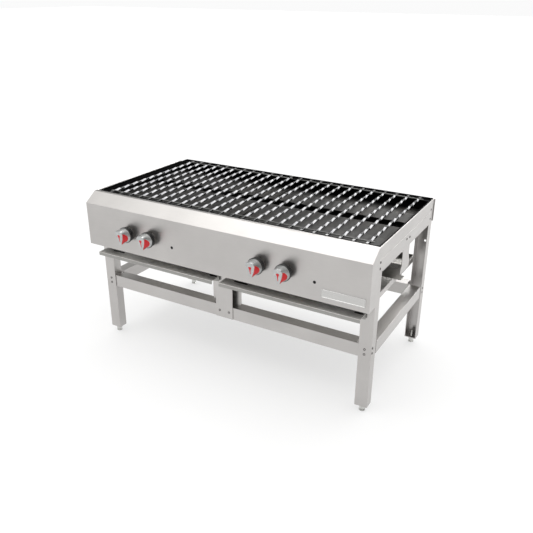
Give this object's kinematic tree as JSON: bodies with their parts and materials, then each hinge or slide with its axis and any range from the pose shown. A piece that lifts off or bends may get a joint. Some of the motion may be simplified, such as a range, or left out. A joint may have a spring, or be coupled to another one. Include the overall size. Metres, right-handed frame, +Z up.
{
  "type": "charbroiler grill",
  "caption": "Open-stand gas charbroiler: bar grates over a firebox with deflectors and burners, sloped apron with control knobs, pull-out grease trays and levelling feet.",
  "frame": {"origin": "centre of the bounding box on the floor under the levelling feet", "axes": "+X along the front to the user's right as they face the knobs, +Y from the knobs to the rear panel, +Z up"},
  "size_m": [0.914, 0.554, 0.489],
  "materials": {
    "stainless": "brushed satin stainless sheet",
    "tray_steel": "duller brushed stainless sheet",
    "deflector_steel": "heat-tinted steel plate",
    "grate_iron": "seasoned black twisted bar with polished crests",
    "cast_iron": "matte black burner casting",
    "firebox_enamel": "black heat-proof enamel",
    "zinc_steel": "bright zinc plating",
    "brass": "plain machined brass",
    "knob_silver": "silver metallised plastic",
    "knob_black": "black satin plastic",
    "knob_red": "red moulded insert"
  },
  "bodies": {
    "stand": {"leg_front_left": "stainless", "leg_rear_left": "stainless", "rail_side_lower_left": "stainless", "rail_side_upper_left": "stainless", "side_skirt_left": "stainless", "hanger_left": "stainless", "runner_side_left": "stainless", "deflector_front_left": "deflector_steel", "deflector_rear_left": "deflector_steel", "burner_front_left": "cast_iron", "burner_rear_left": "cast_iron", "leg_front_right": "stainless", "leg_rear_right": "stainless", "rail_side_lower_right": "stainless", "rail_side_upper_right": "stainless", "side_skirt_right": "stainless", "hanger_right": "stainless", "runner_side_right": "stainless", "deflector_front_right": "deflector_steel", "deflector_rear_right": "deflector_steel", "burner_front_right": "cast_iron", "burner_rear_right": "cast_iron", "rail_front_lower": "stainless", "rail_rear_lower": "stainless", "cross_beam": "tray_steel", "post_front": "stainless", "post_rear": "stainless", "post_gusset": "stainless", "runner_centre": "stainless", "apron_panel": "stainless", "nameplate": "stainless", "rear_panel": "stainless", "firebox": "firebox_enamel", "gas_manifold": "zinc_steel", "gas_valve_1": "brass", "gas_valve_2": "brass", "gas_valve_3": "brass", "gas_valve_4": "brass", "knob_bezel_1": "zinc_steel", "knob_bezel_2": "zinc_steel", "knob_bezel_3": "zinc_steel", "knob_bezel_4": "zinc_steel"},
    "foot_front_left": {"foot_front_left": "zinc_steel"},
    "foot_front_right": {"foot_front_right": "zinc_steel"},
    "foot_rear_left": {"foot_rear_left": "zinc_steel"},
    "foot_rear_right": {"foot_rear_right": "zinc_steel"},
    "tray_left": {"tray_left": "tray_steel", "tray_pull_left": "tray_steel"},
    "tray_right": {"tray_right": "tray_steel", "tray_pull_right": "tray_steel"},
    "grate_left": {"grate_left": "grate_iron"},
    "grate_right": {"grate_right": "grate_iron"},
    "spindle_1": {"valve_stem_1": "brass"},
    "knob_1": {"knob_1": "knob_silver"},
    "spindle_2": {"valve_stem_2": "brass"},
    "knob_2": {"knob_2": "knob_silver"},
    "spindle_3": {"valve_stem_3": "brass"},
    "knob_3": {"knob_3": "knob_silver"},
    "spindle_4": {"valve_stem_4": "brass"},
    "knob_4": {"knob_4": "knob_silver"}
  },
  "joints": [
    {"name": "knob_1_press", "type": "slide", "parent": "stand", "child": "spindle_1", "axis": [0, 1, 0], "range_m": [0, 0.003], "stiffness_N_per_m": 800},
    {"name": "knob_1_turn", "type": "hinge", "parent": "spindle_1", "child": "knob_1", "pos_m": [-0.296, -0.245, 0.394], "axis": [0, -1, 0], "range_deg": [0, 210]},
    {"name": "knob_2_press", "type": "slide", "parent": "stand", "child": "spindle_2", "axis": [0, 1, 0], "range_m": [0, 0.003], "stiffness_N_per_m": 800},
    {"name": "knob_2_turn", "type": "hinge", "parent": "spindle_2", "child": "knob_2", "pos_m": [-0.216, -0.245, 0.394], "axis": [0, -1, 0], "range_deg": [0, 210]},
    {"name": "knob_3_press", "type": "slide", "parent": "stand", "child": "spindle_3", "axis": [0, 1, 0], "range_m": [0, 0.003], "stiffness_N_per_m": 800},
    {"name": "knob_3_turn", "type": "hinge", "parent": "spindle_3", "child": "knob_3", "pos_m": [0.145, -0.245, 0.394], "axis": [0, -1, 0], "range_deg": [0, 210]},
    {"name": "knob_4_press", "type": "slide", "parent": "stand", "child": "spindle_4", "axis": [0, 1, 0], "range_m": [0, 0.003], "stiffness_N_per_m": 800},
    {"name": "knob_4_turn", "type": "hinge", "parent": "spindle_4", "child": "knob_4", "pos_m": [0.226, -0.245, 0.394], "axis": [0, -1, 0], "range_deg": [0, 210]},
    {"name": "tray_left_slide", "type": "slide", "parent": "stand", "child": "tray_left", "axis": [0, -1, 0], "range_m": [0, 0.4]},
    {"name": "tray_right_slide", "type": "slide", "parent": "stand", "child": "tray_right", "axis": [0, -1, 0], "range_m": [0, 0.4]},
    {"name": "grate_left_lift", "type": "slide", "parent": "stand", "child": "grate_left", "axis": [0, 0, 1], "range_m": [0, 0.15]},
    {"name": "grate_right_lift", "type": "slide", "parent": "stand", "child": "grate_right", "axis": [0, 0, 1], "range_m": [0, 0.15]},
    {"name": "foot_front_left_screw", "type": "slide", "parent": "stand", "child": "foot_front_left", "axis": [0, 0, -1], "range_m": [0, 0.012]},
    {"name": "foot_front_right_screw", "type": "slide", "parent": "stand", "child": "foot_front_right", "axis": [0, 0, -1], "range_m": [0, 0.012]},
    {"name": "foot_rear_left_screw", "type": "slide", "parent": "stand", "child": "foot_rear_left", "axis": [0, 0, -1], "range_m": [0, 0.012]},
    {"name": "foot_rear_right_screw", "type": "slide", "parent": "stand", "child": "foot_rear_right", "axis": [0, 0, -1], "range_m": [0, 0.012]}
  ]
}
